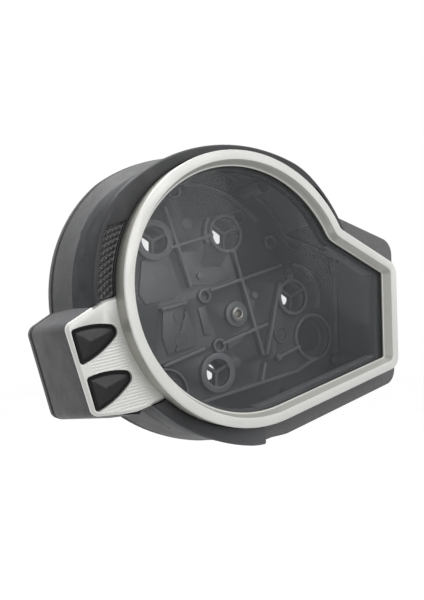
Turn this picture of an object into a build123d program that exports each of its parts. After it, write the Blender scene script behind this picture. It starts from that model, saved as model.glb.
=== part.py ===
from build123d import *
import os
from math import acos, atan2, cos, degrees, hypot, radians, sin, sqrt

# Instrument cluster housing of a sport motorcycle, upright as it sits behind the windscreen.
# Millimetres. X runs to the rider's right, Y away from the rider, Z up.
# The origin is the rear mouth of the threaded insert that the centre bolt of the stay enters.
# Outlines are drawn from the centre of the round window, depths run back from the rim's front face.

# Overall places
OVERALL_DEPTH = 68.0
INSERT_X = 27.4
INSERT_Z = -8.7

# Window: a circle that runs into a wing on the right
WINDOW_RADIUS = 65.0
WINDOW_TOP_REACH = 51.6
WINDOW_TOP_TILT = 21.5
WING_RIGHT = 96.0
WING_BOTTOM_TILT = 17.5
WINDOW_CORNER = 8.0
LEAST_CORNER = 1.2
NOTCH_RADIUS = 4.0
LEAST_NOTCH = 0.8

# Bezel
RIM_FACE = 4.6
RIM_DEPTH = 10.0
RIM_WALL = 1.8
RIM_FACE_THICK = 2.0
RIM_EDGE = 0.7
LIP_OUTSET = 3.0
LIP_TAPER = 1.5
LIP_STEP = 4.7
LIP_STEP_IN = 0.5
PLATE_FRONT = 10.0
PLATE_THICK = 2.2
PLATE_BEVEL = 0.9
PLATE_CORNER = 3.6
BEVEL_ANGLE = 52.0
PLATE_BACK = PLATE_FRONT + PLATE_THICK
BEZEL_POST_RADIUS = 2.2
BEZEL_POST_BLIND = 0.5
HOOK_ANGLES = (75, 112, 145, 250, 274)
HOOK_WIDTH = 5.0
HOOK_RADIUS = WINDOW_RADIUS - RIM_WALL / 2
HOOK_THICK = 1.2
HOOK_BARB = 0.6
HOOK_PLAY = 0.6
SLOT_SHIFT = 0.2
HOOK_END = 15.0

# Lens and the ledge that carries it
LENS_INSET = 2.6
LENS_FRONT = 5.5
LENS_BACK = 8.0
LEDGE = 9.0
LEDGE_INSET = 8.0
GASKET_INSET = 6.0
PLINTH_INSET = 2.4

# Front case: a drum flattened by a wider arc at its upper and its lower left, and a skirt below it
DRUM_RADIUS = 75.8
DRUM_FLAT_REACHES = (70.0, 71.0)
SKIRT_FLAT_REACHES = (76.8, 75.0)
FLAT_ANGLES = (106.0, 236.0)
FLAT_RADIUS = 95.0
FLAT_BLEND = 40.0
SHOULDER = 9.0
SHOULDER_THICK = 3.0
SHOULDER_EDGE = 1.0
PLINTH_ROOT = 0.5
OVERCUT = 1.0
GROOVE_DEPTH = 1.0
GROOVE_OUTSET = 0.8
CREASE = 35.0
SKIRT_RADIUS = 78.6
WALL = 2.5
SEAM = 57.6
BODY_TOP_REACH = 57.3
BODY_TOP_TILT = 13.6
BODY_RIGHT = 107.0
BODY_INSET = 1.0
BODY_NOTCH = 3.0
BODY_BOTTOM_REACH = 76.5
BODY_CORNER = 9.0
BODY_SHOULDER = 13.5
LEAD_RUN = 6.0
LEAD_BLEND = 25.0
LEAD_DIP = 0.8
REBATE_DEPTH = 0.9
REBATE_WIDTH = 0.8
REBATE_SPAN = 400.0
DRUM_GAP_FROM = -80.0
DRUM_GAP_TO = 20.0

# Rear case
GASKET_THICK = 1.0
GASKET_OUTER_INSET = 0.9
GASKET_INNER_INSET = 2.2
FLOOR = SEAM + GASKET_THICK
FLOOR_THICK = 2.5
FLOOR_BACK = FLOOR + FLOOR_THICK
FLANGE_BACK = FLOOR + 4.0
RIB_THICK = 1.5
RIB_TALL = 4.0
BACK_RIB = 64.5

# Buttons: rounded triangles with bowed upper and lower sides
BUTTON_CORNER = (-84.0, -21.6)
BUTTON_NOSE = (-61.3, -19.4)
BUTTON_FOOT = (-79.4, -36.2)
BUTTON_UPPER_BOW = (-73.0, -18.6)
BUTTON_LOWER_BOW = (-68.6, -28.9)
BUTTON_NOSE_RADIUS = 3.4
BUTTON_CORNER_RADIUS = 1.6
BUTTON_FOOT_RADIUS = 1.7
BUTTON_STEP = (7.0, -19.4)
BUTTON_GAP = 0.8
BUTTON_POCKET = 1.5
BUTTON_TRAVEL = 2.0
POCKET_WALL = 1.0
PLATE_GAP = 0.3
BUTTON_TOP = 10.3
BUTTON_EDGE = 11.7
FLANGE_FRONT = PLATE_BACK + 0.1
FLANGE_THICK = 1.4
POCKET_BACK = FLANGE_FRONT + FLANGE_THICK + BUTTON_TRAVEL + PLATE_GAP
STEM_RADIUS = 2.7
STEM_HOLE = 3.0
STEM_END = 29.0
GUIDE_FRONT = 22.0
GUIDE_THICK = 2.5

# Outline points of the button arm, in order from its upper root, at the plate and at the seam
ARM_AT_PLATE = [(-52, -2), (-70.5, -8.8), (-86.4, -19.8), (-73.6, -57.0), (-52, -57.0), (-40, -38)]
ARM_AT_SEAM = [(-56, 2), (-71.5, -7.2), (-88.7, -20.0), (-75.3, -62.4), (-48, -63.2), (-38, -44)]
PLATE_OUTLINE = [(-56, -3), (-64.2, -6.5), (-70.5, -8.8), (-86.4, -19.8), (-73.6, -57.0),
                 (-61, -56.6), (-53.7, -55.7), (-41.5, -51.4), (-34, -44)]

ARM_CORNER = 4.0
ARM_FOOT_CORNER = 5.0
ARM_INNER_CORNER = 2.0
ARM_INNER_FOOT_CORNER = 3.0

# Screws: the two that clamp the button guide and the bezel, and those round the seam
GUIDE_SCREWS = [(-66.8, -12.9), (-58.3, -52.3)]
GUIDE_SCREW_RADIUS = 1.3
STEM_PLACE = (-75.5, -26.0)
RING_POSTS = [(70.2, 62), (65.8, 107), (67.4, 130), (70.2, 168), (68.6, 250), (71.0, 278)]
WING_POSTS = [(101.4, 22.0), (101.4, -35.5), (62.0, -54.5)]
ARM_POSTS = [(-81.5, -24.0), (-70.5, -55.5)]
SCREW_RADIUS = 1.5
SCREW_PLAY = 0.3
POST_RADIUS = 3.6
POST_TRIM = 0.2
SCREW_LENGTH = 16.0
SCREW_GRIP = 12.0
SCREW_HEAD_RADIUS = 3.0
SCREW_HEAD_TALL = 1.5
CROSS_LONG = 3.2
CROSS_WIDE = 0.7
CROSS_TURN = 20.0
POST_LENGTH = 20.0
GUIDE_SCREW_GRIP = 7.0
GUIDE_HEAD_RADIUS = 2.5
GUIDE_HEAD_TALL = 1.6
GUIDE_EAR = 3.4
GUIDE_PAD = 5.2
GUIDE_PLAY = 0.4
SPACER_WALL = 1.2
SPACER_PLAY = 0.3
BOOT_FOOT = 5.0
BOOT_TOP = 4.2
BOOT_PLAY = 0.2
BOOT_GAP = 0.1
BUTTON_TAPER = 40.0
BUTTON_PLAY = 0.5

# Features on the floor of the rear case
TONGUE_GAP = 0.9
TONGUE_TALL = 3.0
TONGUE_POST_GAP = 1.0
TUBE_RADIUS = 4.0
TUBE_BORE = 2.7
TUBE_TALL = 2.6
STUD_RADIUS = 2.0
STUD_TALL = 3.0
DISC_RADIUS = 3.2
DISC_TALL = 0.8
HUB_RADIUS = 7.2
HUB_STEP = 2.6
HUB_COLLAR = 4.5
SPOKE_ANGLES = (-90, 30, 150)
SPOKE_WIDTH = 1.6
SPOKE_BACK = 61.5
SPOKE_TALL = 3.5
SPOKE_ROOT = 0.8
PLUG_SEAT = 66.0
PLUG_STEPS = [(PLUG_SEAT, 68.0, 10.5), (64.0, PLUG_SEAT, 8.0), (62.4, 64.0, 9.0)]
BREATHER_RADIUS = 2.8
BREATHER_BORE = 1.3
BREATHER_END = 66.0
CAP_WALL = 1.3
CAP_TOP = 1.2
CAP_GAP = 0.4
BACK_RING_RADIUS = 50.0
BACK_RIB_ROOT = 0.6
ARC_RIBS = [
    ((0, 0), 62.0, 48.0, 52.0),
    ((68.1, 3.0), 19.5, -20.0, 110.0),
    ((20.0, 36.9), 14.0, 150.0, 60.0),
]
BACK_RIBS = [
    ((-24.8, 28.8), (INSERT_X, INSERT_Z)),
    ((20.0, 36.9), (INSERT_X, INSERT_Z)),
    ((68.1, 3.0), (INSERT_X, INSERT_Z)),
    ((14.9, -41.7), (INSERT_X, INSERT_Z)),
    ((-24.8, 28.8), (14.9, -41.7)),
    ((68.1, 3.0), (84.5, -21.0)),
    ((14.9, -41.7), (84.5, -21.0)),
]
SOCKETS = [(-24.8, 28.8), (20.0, 36.9), (68.1, 3.0), (14.9, -41.7)]
SOCKET_RADIUS = 11.0
SOCKET_CUPS = [7.6, 9.2, 9.2, 7.6]
SOCKET_RISE = 3.0
SOCKET_BORE = 4.5
SOCKET_FLOOR = 66.0
TUBES = [(6.4, 0.6), (16.0, -26.7), (-13.0, 57.0), (51.6, 35.0)]
STUDS = [(66.3, 15.3), (57.2, -33.5), (39.8, 2.6), (3.4, 11.5)]
DISCS = [(-4.0, 40.1), (28.2, -36.2), (-6.9, -25.3)]
STRAIGHT_RIBS = [
    ((-18.9, 46.8), (-3.1, 5.5)),
    ((-15.0, 25.6), (10.5, 35.0)),
    ((24.9, 26.9), (45.0, -31.5)),
    ((10.0, 4.0), (58.2, 21.3)),
    ((18.0, -25.5), (47.8, -14.0)),
    ((57.4, 10.4), (47.9, -31.0)),
    ((3.5, -57.7), (70.0, -41.6)),
    ((70.0, -41.6), (84.0, -34.5)),
    ((-20.1, -7.8), (-6.2, -3.8)),
    ((-18.3, -37.5), (5.0, -28.6)),
    ((46.4, -37.0), (44.2, -46.6)),
    ((56.0, -33.5), (72.0, -27.0)),
]
RECESS_PLACE = (84.5, -21.0)
RECESS_RADIUS = 12.5
RECESS_WALL = 2.0
RECESS_FLOOR = 64.0
PLUG_HOLE = 8.0
INSERT_OUTER = 3.6
INSERT_HOLE = 2.1
INSERT_FRONT = 54.0
BREATHER_PLACE = (-30.0, -52.0)

# Knurled panels in the shoulder, each with the angles of its upper and lower end and the upper end's slant
PANEL_NAMES = ("left_knurled_panel", "right_knurled_panel")
PANEL_SPANS = [(155.0, 187.0, 8.0), (57.0, 24.0, -8.0)]
PANEL_PLAY = 0.2
PANEL_INNER = 66.2
PANEL_OUTER = 73.2
PANEL_OVERLAP = 1.5
PANEL_POCKET = 1.6
PANEL_THICK = 1.0


def at_depth(depth):
    """Plane behind the rim's face, centred on the round window, facing the rider."""
    return Plane(
        origin=(-INSERT_X, depth - OVERALL_DEPTH, -INSERT_Z),
        x_dir=(1, 0, 0),
        z_dir=(0, -1, 0),
    )


def on_circle(radius, angle):
    """Point at an angle from the rider's right."""
    return (radius * cos(radians(angle)), radius * sin(radians(angle)))


def flattened_circle(radius, reaches, grow=0.0):
    """Circle with a wider arc across it at each flat's angle, and blend arcs at that arc's ends."""
    inner = radius - FLAT_BLEND
    outer = FLAT_RADIUS - FLAT_BLEND

    def spot(centre, size, angle):
        x, y = on_circle(size + grow, angle)
        return (centre[0] + x, centre[1] + y)

    round_ends = []
    with BuildSketch() as outline:
        with BuildLine():
            for reach, middle in zip(reaches, FLAT_ANGLES):
                back = FLAT_RADIUS - reach
                along = (outer**2 - inner**2 - back**2) / (2 * back)
                across = sqrt(inner**2 - along**2)
                round_half = degrees(atan2(across, along))
                flat_half = degrees(atan2(across, along + back))
                centre = on_circle(-back, middle)
                ends = [spot(centre, FLAT_RADIUS, middle + side * flat_half) for side in (-1, 1)]
                ThreePointArc(ends[0], spot(centre, FLAT_RADIUS, middle), ends[1])
                for side, end in zip((-1, 1), ends):
                    turn = middle + side * round_half
                    blend_centre = on_circle(inner, turn)
                    halfway = middle + side * (round_half + flat_half) / 2
                    ThreePointArc(end, spot(blend_centre, FLAT_BLEND, halfway), spot((0, 0), radius, turn))
                    round_ends.append(turn)
            starts = round_ends[1::2]
            stops = round_ends[2::2] + [round_ends[0] + 360]
            for start, stop in zip(starts, stops):
                points = [spot((0, 0), radius, angle) for angle in (start, (start + stop) / 2, stop)]
                ThreePointArc(*points)
        make_face()
    return outline.sketch


def drum_ring(grow=0.0):
    """The drum's full ring, moved outwards by grow."""
    return flattened_circle(DRUM_RADIUS, DRUM_FLAT_REACHES, grow)


def skirt_ring(grow=0.0):
    """The skirt's ring at the seam, moved outwards by grow."""
    return flattened_circle(SKIRT_RADIUS, SKIRT_FLAT_REACHES, grow)


def winged_outline(ring, radius, top_reach, top_tilt, right, bottom_reach, corner, notch):
    """Ring with a wing whose upper edge falls and whose lower edge rises to the right."""
    top = (sin(radians(top_tilt)), cos(radians(top_tilt)))
    bottom = (sin(radians(WING_BOTTOM_TILT)), -cos(radians(WING_BOTTOM_TILT)))
    upper_corner = (right, (top_reach - top[0] * right) / top[1])
    lower_corner = (right, (bottom_reach - bottom[0] * right) / bottom[1])
    along = sqrt(radius**2 - top_reach**2)
    notch_x = top_reach * top[0] + along * top[1]
    notch_y = top_reach * top[1] - along * top[0]
    foot = (bottom_reach * bottom[0], bottom_reach * bottom[1])
    lead_in = [foot]
    if bottom_reach > radius:
        # the lower edge lies outside the circle, so a tangent leads up to it
        foot = (foot[0] - LEAD_RUN * bottom[1], foot[1] + LEAD_RUN * bottom[0])
        foot_angle = degrees(atan2(foot[1], foot[0]))
        turn = degrees(acos((radius - LEAD_DIP) / hypot(*foot)))
        lead_in = [on_circle(radius - LEAD_DIP, foot_angle - turn), foot]
    with BuildSketch() as outline:
        add(ring)
        Polygon(
            (0, 0),
            *lead_in,
            lower_corner,
            upper_corner,
            (top_reach * top[0], top_reach * top[1]),
            align=None,
        )
        fillet(outline.vertices().group_by(Axis.X)[-1], corner)
        nearest = outline.vertices().sort_by_distance((notch_x, notch_y, 0))[0]
        fillet(nearest, notch)
        if bottom_reach > radius:
            fillet(outline.vertices().sort_by_distance((*foot, 0))[0], LEAD_BLEND)
    return outline.sketch


def window_outline(grow=0.0):
    """Outline of the bezel's rim, moved outwards by grow."""
    with BuildSketch() as ring:
        Circle(WINDOW_RADIUS + grow)
    return winged_outline(
        ring.sketch,
        WINDOW_RADIUS + grow,
        WINDOW_TOP_REACH + grow,
        WINDOW_TOP_TILT,
        WING_RIGHT + grow,
        WINDOW_RADIUS + grow,
        max(WINDOW_CORNER + grow, LEAST_CORNER),
        max(NOTCH_RADIUS - grow, LEAST_NOTCH),
    )


def body_outline(ring, radius, grow=0.0):
    """Outline of the case behind the bezel: a ring of the given radius and the wing."""
    return winged_outline(
        ring,
        radius + grow,
        BODY_TOP_REACH + grow,
        BODY_TOP_TILT,
        BODY_RIGHT + grow,
        BODY_BOTTOM_REACH + grow,
        BODY_CORNER + grow,
        BODY_NOTCH - grow,
    )


def case_body(grow=0.0):
    """Outline of the wing's body with the part of the drum that it grows from."""
    return body_outline(drum_ring(grow - BODY_INSET), DRUM_RADIUS - BODY_INSET, grow)


def drum_outline(grow=0.0, margin=0.0):
    """Drum ring without the sector that the wing takes, which margin makes wider."""
    middle = radians((DRUM_GAP_FROM + DRUM_GAP_TO) / 2)
    half = radians((DRUM_GAP_TO - DRUM_GAP_FROM) / 2)
    back = margin / sin(half)
    apex = (-back * cos(middle), -back * sin(middle))
    reach = 2 * DRUM_RADIUS
    low = on_circle(reach, DRUM_GAP_FROM)
    far = on_circle(2 * reach, degrees(middle))
    high = on_circle(reach, DRUM_GAP_TO)
    with BuildSketch() as outline:
        add(drum_ring(grow))
        Polygon(
            apex,
            (apex[0] + low[0], apex[1] + low[1]),
            far,
            (apex[0] + high[0], apex[1] + high[1]),
            align=None,
            mode=Mode.SUBTRACT,
        )
    return outline.sketch


def arm_outline(points, grow=0.0, corner=ARM_CORNER):
    """Outline of the button arm with its two outer corners rounded."""
    with BuildSketch() as outline:
        Polygon(*points, align=None)
        if grow:
            offset(amount=grow, kind=Kind.INTERSECTION)
        fillet(outline.vertices().sort_by(Axis.X)[:2], corner)
    return outline.sketch


def seam_outline(grow=0.0):
    """Outline where the front case meets the rear case: drum, wing and arm."""
    with BuildSketch() as outline:
        add(body_outline(skirt_ring(grow), SKIRT_RADIUS, grow))
        add(arm_outline(ARM_AT_SEAM, grow, ARM_FOOT_CORNER + grow / 2))
    return outline.sketch


def button_outline(grow=0.0):
    """Rounded triangle of a button hole, its nose towards the window."""
    with BuildSketch() as outline:
        with BuildLine():
            ThreePointArc(BUTTON_CORNER, BUTTON_UPPER_BOW, BUTTON_NOSE)
            ThreePointArc(BUTTON_NOSE, BUTTON_LOWER_BOW, BUTTON_FOOT)
            Line(BUTTON_FOOT, BUTTON_CORNER)
        make_face()
        fillet(outline.vertices().sort_by(Axis.X)[-1], BUTTON_NOSE_RADIUS)
        fillet(outline.vertices().sort_by_distance((*BUTTON_CORNER, 0))[0], BUTTON_CORNER_RADIUS)
        fillet(outline.vertices().sort_by_distance((*BUTTON_FOOT, 0))[0], BUTTON_FOOT_RADIUS)
        if grow:
            offset(amount=grow)
    return outline.sketch


def case_posts():
    """Places of the screws round the seam."""
    ring = [on_circle(radius, angle) for radius, angle in RING_POSTS]
    return ring + WING_POSTS + ARM_POSTS


def bar(start, end, width):
    """Straight bar with round ends between two points, for the sketch in hand."""
    centre = ((start[0] + end[0]) / 2, (start[1] + end[1]) / 2)
    length = hypot(end[0] - start[0], end[1] - start[1])
    slope = degrees(atan2(end[1] - start[1], end[0] - start[0]))
    with Locations(centre):
        SlotCenterToCenter(length, width, rotation=slope)


def arc_bar(centre, radius, start, sweep, width):
    """Curved bar about a centre, from a start angle through a sweep."""
    steps = 6
    pie = [centre]
    for step in range(steps + 1):
        x, y = on_circle(1.6 * radius, start + sweep * step / steps)
        pie.append((centre[0] + x, centre[1] + y))
    with BuildSketch() as outline:
        with Locations(centre):
            Circle(radius + width / 2)
            Circle(radius - width / 2, mode=Mode.SUBTRACT)
        Polygon(*pie, align=None, mode=Mode.INTERSECT)
    return outline.sketch


def plate_outline(grow=0.0):
    """Outline of the bezel's button plate, which runs in under the rim."""
    with BuildSketch() as outline:
        Polygon(*PLATE_OUTLINE, align=None)
        fillet(outline.vertices().sort_by(Axis.X)[:2], PLATE_CORNER)
        if grow:
            offset(amount=grow)
    return outline.sketch


def both_buttons(sketch):
    """Add a button sketch at the upper and the lower place, for the sketch in hand."""
    add(sketch)
    with Locations(BUTTON_STEP):
        add(sketch)


def panel_outline(upper, lower, slant, play):
    """Curved field of a knurled panel with its upper end cut aslant, smaller by play all round."""
    middle = (PANEL_INNER + PANEL_OUTER) / 2
    trim = degrees(play / middle)
    width = PANEL_OUTER - PANEL_INNER - 2 * play
    start = min(upper, lower)
    sweep = abs(upper - lower)
    side = slant / abs(slant)
    with BuildSketch() as outline:
        add(arc_bar((0, 0), middle, start + trim, sweep - 2 * trim, width))
        Polygon(
            on_circle(PANEL_INNER - PANEL_OVERLAP, upper + side * trim),
            on_circle(PANEL_OUTER + PANEL_OVERLAP, upper + slant + side * trim),
            on_circle(PANEL_OUTER + 2 * PANEL_OVERLAP, upper - slant),
            on_circle(PANEL_INNER - PANEL_OVERLAP, upper - slant),
            align=None,
            mode=Mode.SUBTRACT,
        )
        if play:
            add(window_outline(GROOVE_OUTSET + play), mode=Mode.SUBTRACT)
            add(plate_outline(PLATE_GAP + play), mode=Mode.SUBTRACT)
    return outline.sketch


def guide_outline():
    """Plate that spans both guide screws and both stems, with its holes."""
    stems = [STEM_PLACE, (STEM_PLACE[0] + BUTTON_STEP[0], STEM_PLACE[1] + BUTTON_STEP[1])]
    with BuildSketch() as outline:
        with BuildLine():
            for place in GUIDE_SCREWS:
                CenterArc(place, GUIDE_EAR, 0, 360)
            for place in stems:
                CenterArc(place, GUIDE_PAD, 0, 360)
        make_hull()
        add(arm_outline(ARM_AT_PLATE, -WALL - GUIDE_PLAY, ARM_INNER_CORNER), mode=Mode.INTERSECT)
        with Locations(*GUIDE_SCREWS):
            Circle(GUIDE_SCREW_RADIUS, mode=Mode.SUBTRACT)
        with Locations(*stems):
            Circle(STEM_HOLE, mode=Mode.SUBTRACT)
    return outline.sketch


# Bezel: one painted moulding of rim, lip, button plate, hooks and two screw posts
with BuildPart() as bezel:
    with BuildSketch(at_depth(RIM_DEPTH)):
        add(window_outline())
    extrude(amount=RIM_DEPTH)
    fillet(bezel.faces().sort_by(Axis.Y)[0].edges(), RIM_EDGE)
    with BuildSketch(at_depth(RIM_DEPTH)):
        add(window_outline(-RIM_WALL))
    extrude(amount=RIM_DEPTH - RIM_FACE_THICK, mode=Mode.SUBTRACT)
    with BuildSketch(at_depth(LENS_FRONT)):
        add(window_outline(-LIP_OUTSET))
    extrude(amount=LENS_FRONT - RIM_FACE_THICK)
    with BuildSketch(at_depth(0)):
        add(window_outline(-RIM_FACE))
    with BuildSketch(at_depth(LIP_STEP)):
        add(window_outline(-RIM_FACE - LIP_TAPER))
    loft(mode=Mode.SUBTRACT)
    with BuildSketch(at_depth(LENS_FRONT)):
        add(window_outline(-RIM_FACE - LIP_TAPER - LIP_STEP_IN))
    extrude(amount=LENS_FRONT - LIP_STEP, mode=Mode.SUBTRACT)
    with BuildSketch(at_depth(PLATE_BACK)):
        add(plate_outline())
    extrude(amount=PLATE_THICK - PLATE_BEVEL)
    with BuildSketch(at_depth(PLATE_FRONT + PLATE_BEVEL)):
        add(plate_outline())
    extrude(amount=PLATE_BEVEL, taper=BEVEL_ANGLE)
    with BuildSketch(at_depth(PLATE_BACK)):
        add(window_outline(-RIM_WALL))
        both_buttons(button_outline())
    extrude(amount=PLATE_THICK, mode=Mode.SUBTRACT)
    with BuildSketch(at_depth(GUIDE_FRONT)):
        with Locations(*GUIDE_SCREWS):
            Circle(BEZEL_POST_RADIUS)
    extrude(amount=GUIDE_FRONT - PLATE_BACK)
    with BuildSketch(at_depth(GUIDE_FRONT)):
        with Locations(*GUIDE_SCREWS):
            Circle(GUIDE_SCREW_RADIUS)
    extrude(amount=GUIDE_FRONT - PLATE_BACK - BEZEL_POST_BLIND, mode=Mode.SUBTRACT)
    for angle in HOOK_ANGLES:
        with BuildSketch(at_depth(HOOK_END)):
            with Locations(on_circle(HOOK_RADIUS, angle)):
                Rectangle(HOOK_THICK, HOOK_WIDTH, rotation=angle)
        extrude(amount=HOOK_END - RIM_DEPTH)
        with BuildSketch(at_depth(HOOK_END)):
            with Locations(on_circle(HOOK_RADIUS - HOOK_BARB, angle)):
                Rectangle(HOOK_THICK, HOOK_WIDTH, rotation=angle)
        extrude(amount=HOOK_END - SHOULDER - SHOULDER_THICK)
bezel.part.label = "bezel"

# Lens: flat clear sheet held between the bezel's lip and the gasket on the case
with BuildPart() as lens:
    with BuildSketch(at_depth(LENS_BACK)):
        add(window_outline(-LENS_INSET))
    extrude(amount=LENS_BACK - LENS_FRONT)
lens.part.label = "lens"

with BuildPart() as lens_gasket:
    with BuildSketch(at_depth(LEDGE)):
        add(window_outline(-LENS_INSET))
        add(window_outline(-GASKET_INSET), mode=Mode.SUBTRACT)
    extrude(amount=LEDGE - LENS_BACK)
lens_gasket.part.label = "lens_gasket"

# Front case: drum, skirt, wing and button arm in one shell, open at the back
with BuildPart() as front_case:
    with BuildSketch(at_depth(CREASE)):
        add(drum_outline())
    extrude(amount=CREASE - SHOULDER)
    rim_edges = front_case.faces().sort_by(Axis.Y)[0].edges().filter_by(GeomType.CIRCLE)
    chamfer(rim_edges, SHOULDER_EDGE)
    with BuildSketch(at_depth(SEAM)):
        add(skirt_ring())
    with BuildSketch(at_depth(CREASE)):
        add(drum_ring())
    loft()
    with BuildSketch(at_depth(SEAM)):
        add(case_body())
    extrude(amount=SEAM - BODY_SHOULDER)
    with BuildSketch(at_depth(PLATE_BACK)):
        add(arm_outline(ARM_AT_PLATE))
    with BuildSketch(at_depth(SEAM)):
        add(arm_outline(ARM_AT_SEAM, 0, ARM_FOOT_CORNER))
    loft()
    with BuildSketch(at_depth(BODY_SHOULDER + PLINTH_ROOT)):
        add(window_outline(-PLINTH_INSET))
    extrude(amount=BODY_SHOULDER + PLINTH_ROOT - LEDGE)
    # hollow
    with BuildSketch(at_depth(BODY_SHOULDER + SHOULDER_THICK)):
        add(drum_outline(-WALL, WALL))
    extrude(amount=BODY_SHOULDER - SHOULDER, mode=Mode.SUBTRACT)
    with BuildSketch(at_depth(CREASE)):
        add(case_body(-WALL))
        add(drum_ring(-WALL))
    extrude(amount=CREASE - BODY_SHOULDER - SHOULDER_THICK, mode=Mode.SUBTRACT)
    with BuildSketch(at_depth(SEAM)):
        add(case_body(-WALL))
    extrude(amount=SEAM - CREASE, mode=Mode.SUBTRACT)
    with BuildSketch(at_depth(SEAM)):
        add(skirt_ring(-WALL))
    with BuildSketch(at_depth(CREASE)):
        add(drum_ring(-WALL))
    loft(mode=Mode.SUBTRACT)
    with BuildSketch(at_depth(PLATE_BACK + WALL)):
        add(arm_outline(ARM_AT_PLATE, -WALL, ARM_INNER_CORNER))
    with BuildSketch(at_depth(SEAM)):
        add(arm_outline(ARM_AT_SEAM, -WALL, ARM_INNER_FOOT_CORNER))
    loft(mode=Mode.SUBTRACT)
    # floor and walls round the button plate where it lies over the drum
    with BuildSketch(at_depth(PLATE_BACK + WALL)):
        add(plate_outline(PLATE_GAP + WALL))
        add(drum_ring(-WALL / 2), mode=Mode.INTERSECT)
    extrude(amount=PLATE_BACK + WALL - SHOULDER)
    # rebate round the seam
    with BuildSketch(at_depth(SEAM)):
        Rectangle(REBATE_SPAN, REBATE_SPAN)
        add(seam_outline(-REBATE_DEPTH), mode=Mode.SUBTRACT)
    extrude(amount=REBATE_WIDTH, mode=Mode.SUBTRACT)
    # window opening
    with BuildSketch(at_depth(BODY_SHOULDER + SHOULDER_THICK + OVERCUT)):
        add(window_outline(-LEDGE_INSET))
    extrude(amount=BODY_SHOULDER + SHOULDER_THICK + OVERCUT - LEDGE, mode=Mode.SUBTRACT)
    # groove for the bezel's rim
    with BuildSketch(at_depth(SHOULDER + GROOVE_DEPTH)):
        add(window_outline(GROOVE_OUTSET))
        add(window_outline(-PLINTH_INSET), mode=Mode.SUBTRACT)
    extrude(amount=GROOVE_DEPTH, mode=Mode.SUBTRACT)
    # pocket for the button plate, and what passes through its floor
    with BuildSketch(at_depth(PLATE_BACK)):
        add(plate_outline(PLATE_GAP))
        add(window_outline(-PLINTH_INSET), mode=Mode.SUBTRACT)
    extrude(amount=PLATE_BACK, mode=Mode.SUBTRACT)
    with BuildSketch(at_depth(POCKET_BACK)):
        both_buttons(button_outline(BUTTON_POCKET))
        add(arm_outline(ARM_AT_PLATE, -POCKET_WALL), mode=Mode.INTERSECT)
    extrude(amount=POCKET_BACK - PLATE_BACK, mode=Mode.SUBTRACT)
    # recesses for the knurled panels in the shoulder
    for span in PANEL_SPANS:
        with BuildSketch(at_depth(SHOULDER + PANEL_POCKET)):
            add(panel_outline(*span, 0))
        extrude(amount=PANEL_POCKET, mode=Mode.SUBTRACT)
    # slots for the bezel's hooks
    for angle in HOOK_ANGLES:
        with BuildSketch(at_depth(SHOULDER + SHOULDER_THICK + OVERCUT)):
            with Locations(on_circle(HOOK_RADIUS - SLOT_SHIFT, angle)):
                Rectangle(HOOK_THICK + 2 * HOOK_PLAY, HOOK_WIDTH + HOOK_PLAY, rotation=angle)
        extrude(amount=SHOULDER_THICK + OVERCUT, mode=Mode.SUBTRACT)
    # spacer tubes for the guide screws
    with BuildSketch(at_depth(GUIDE_FRONT)):
        with Locations(*GUIDE_SCREWS):
            Circle(BEZEL_POST_RADIUS + SPACER_PLAY + SPACER_WALL)
            Circle(BEZEL_POST_RADIUS + SPACER_PLAY, mode=Mode.SUBTRACT)
    extrude(amount=GUIDE_FRONT - PLATE_BACK - WALL)
    with BuildSketch(at_depth(GUIDE_FRONT)):
        with Locations(*GUIDE_SCREWS):
            Circle(BEZEL_POST_RADIUS + SPACER_PLAY)
    extrude(amount=GUIDE_FRONT - PLATE_BACK, mode=Mode.SUBTRACT)
    # screw posts round the seam, cut to the walls they grow from
    with BuildSketch(at_depth(SEAM)):
        with Locations(*case_posts()):
            Circle(POST_RADIUS)
        add(seam_outline(-POST_TRIM), mode=Mode.INTERSECT)
    extrude(amount=POST_LENGTH)
    with BuildSketch(at_depth(SEAM)):
        with Locations(*case_posts()):
            Circle(SCREW_RADIUS)
    extrude(amount=SCREW_LENGTH, mode=Mode.SUBTRACT)
front_case.part.label = "front_case"

# Knurled panels: curved inserts with crossing grooves, bedded in the shoulder
panels = []
for name, span in zip(PANEL_NAMES, PANEL_SPANS):
    with BuildPart() as panel:
        with BuildSketch(at_depth(SHOULDER + PANEL_POCKET)):
            add(panel_outline(*span, PANEL_PLAY))
        extrude(amount=PANEL_THICK)
    panel.part.label = name
    panels.append(panel)

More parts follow.
